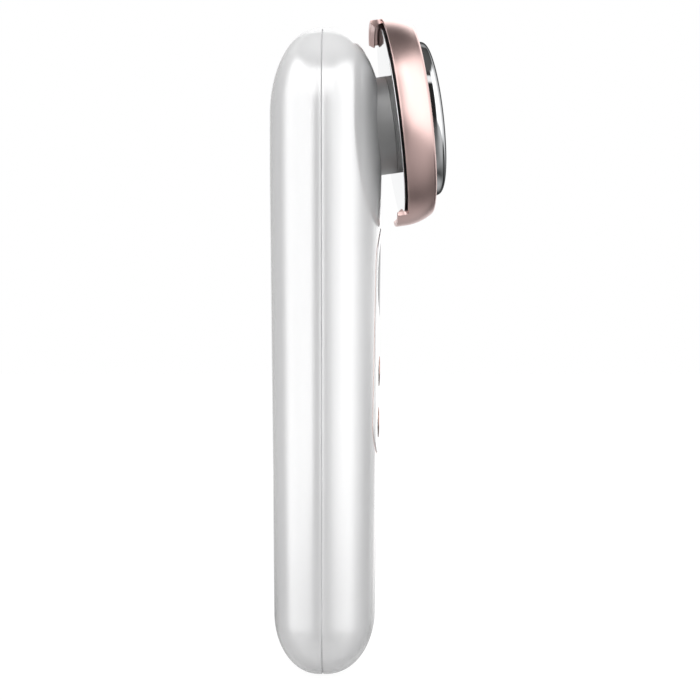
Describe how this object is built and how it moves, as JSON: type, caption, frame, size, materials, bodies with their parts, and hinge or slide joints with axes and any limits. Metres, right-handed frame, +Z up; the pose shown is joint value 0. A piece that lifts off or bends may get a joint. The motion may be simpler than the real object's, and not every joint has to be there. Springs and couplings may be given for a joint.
{
  "type": "facial toning device",
  "caption": "Slim handheld face massager: gloss handle with lit control panel and push buttons, tilted round head with domed metal contact plate and pull-off ring that clamps a cotton pad.",
  "frame": {"origin": "mouth of the charging socket, in the middle of the handle's bottom end", "axes": "+Z up the handle, -Y towards the user (the side of the panel and the head), X across the handle"},
  "size_m": [0.056, 0.0484, 0.1793],
  "materials": {
    "shell_white": "gloss",
    "seal_grey": "matt",
    "panel_white": "gloss",
    "rose_metal": "rose-gold satin",
    "window_grey": "tinted gloss",
    "guide_white": "matt",
    "cap_white": "gloss",
    "board_green": "solder mask",
    "led_yellow": "gloss",
    "chip_black": "matt",
    "switch_steel": "satin",
    "frame_grey": "matt",
    "steel": "satin",
    "battery_grey": "film",
    "foam_grey": "matt foam",
    "socket_black": "matt",
    "neck_grey": "matt",
    "dish_chrome": "polished",
    "carrier_black": "matt",
    "seal_black": "matt",
    "plate_chrome": "polished",
    "pin_gold": "plated",
    "weight_brass": "plain",
    "rose_ring": "rose-gold satin"
  },
  "bodies": {
    "handle": {"rear_shell": "shell_white", "front_shell": "shell_white", "seam_seal": "seal_grey", "control_panel": "panel_white", "panel_trim": "rose_metal", "display_window": "window_grey", "light_guide": "guide_white", "button_rims": "rose_metal", "main_board": "board_green", "indicator_leds": "led_yellow", "board_chips": "chip_black", "tact_switches": "switch_steel", "inner_frame": "frame_grey", "board_screws": "steel", "battery": "battery_grey", "battery_pad": "foam_grey", "charge_socket": "socket_black", "neck": "neck_grey", "neck_screws": "steel", "back_dish": "dish_chrome", "head_carrier": "carrier_black", "head_screws": "steel", "plate_seal": "seal_black", "contact_plate": "plate_chrome", "contact_pin": "pin_gold", "vibration_motor": "steel", "motor_clip": "seal_black"},
    "power_key": {"power_button": "cap_white"},
    "mode_key": {"mode_button": "cap_white"},
    "pad_ring": {"retaining_ring": "rose_ring"},
    "motor_rotor": {"motor_shaft": "steel", "eccentric_weight": "weight_brass"}
  },
  "joints": [
    {"name": "power_press", "type": "slide", "parent": "handle", "child": "power_key", "axis": [0, 0.9999, 0.0159], "range_m": [0, 0.0005], "stiffness_N_per_m": 800, "springref_m": -0.0005},
    {"name": "mode_press", "type": "slide", "parent": "handle", "child": "mode_key", "axis": [0, 0.9999, 0.0159], "range_m": [0, 0.0005], "stiffness_N_per_m": 800, "springref_m": -0.0005},
    {"name": "ring_pull", "type": "slide", "parent": "handle", "child": "pad_ring", "axis": [0, -0.9903, 0.1392], "range_m": [0, 0.02]},
    {"name": "rotor_spin", "type": "hinge", "parent": "handle", "child": "motor_rotor", "pos_m": [0, -0.02574, 0.152], "axis": [1, 0, 0], "continuous": true}
  ]
}
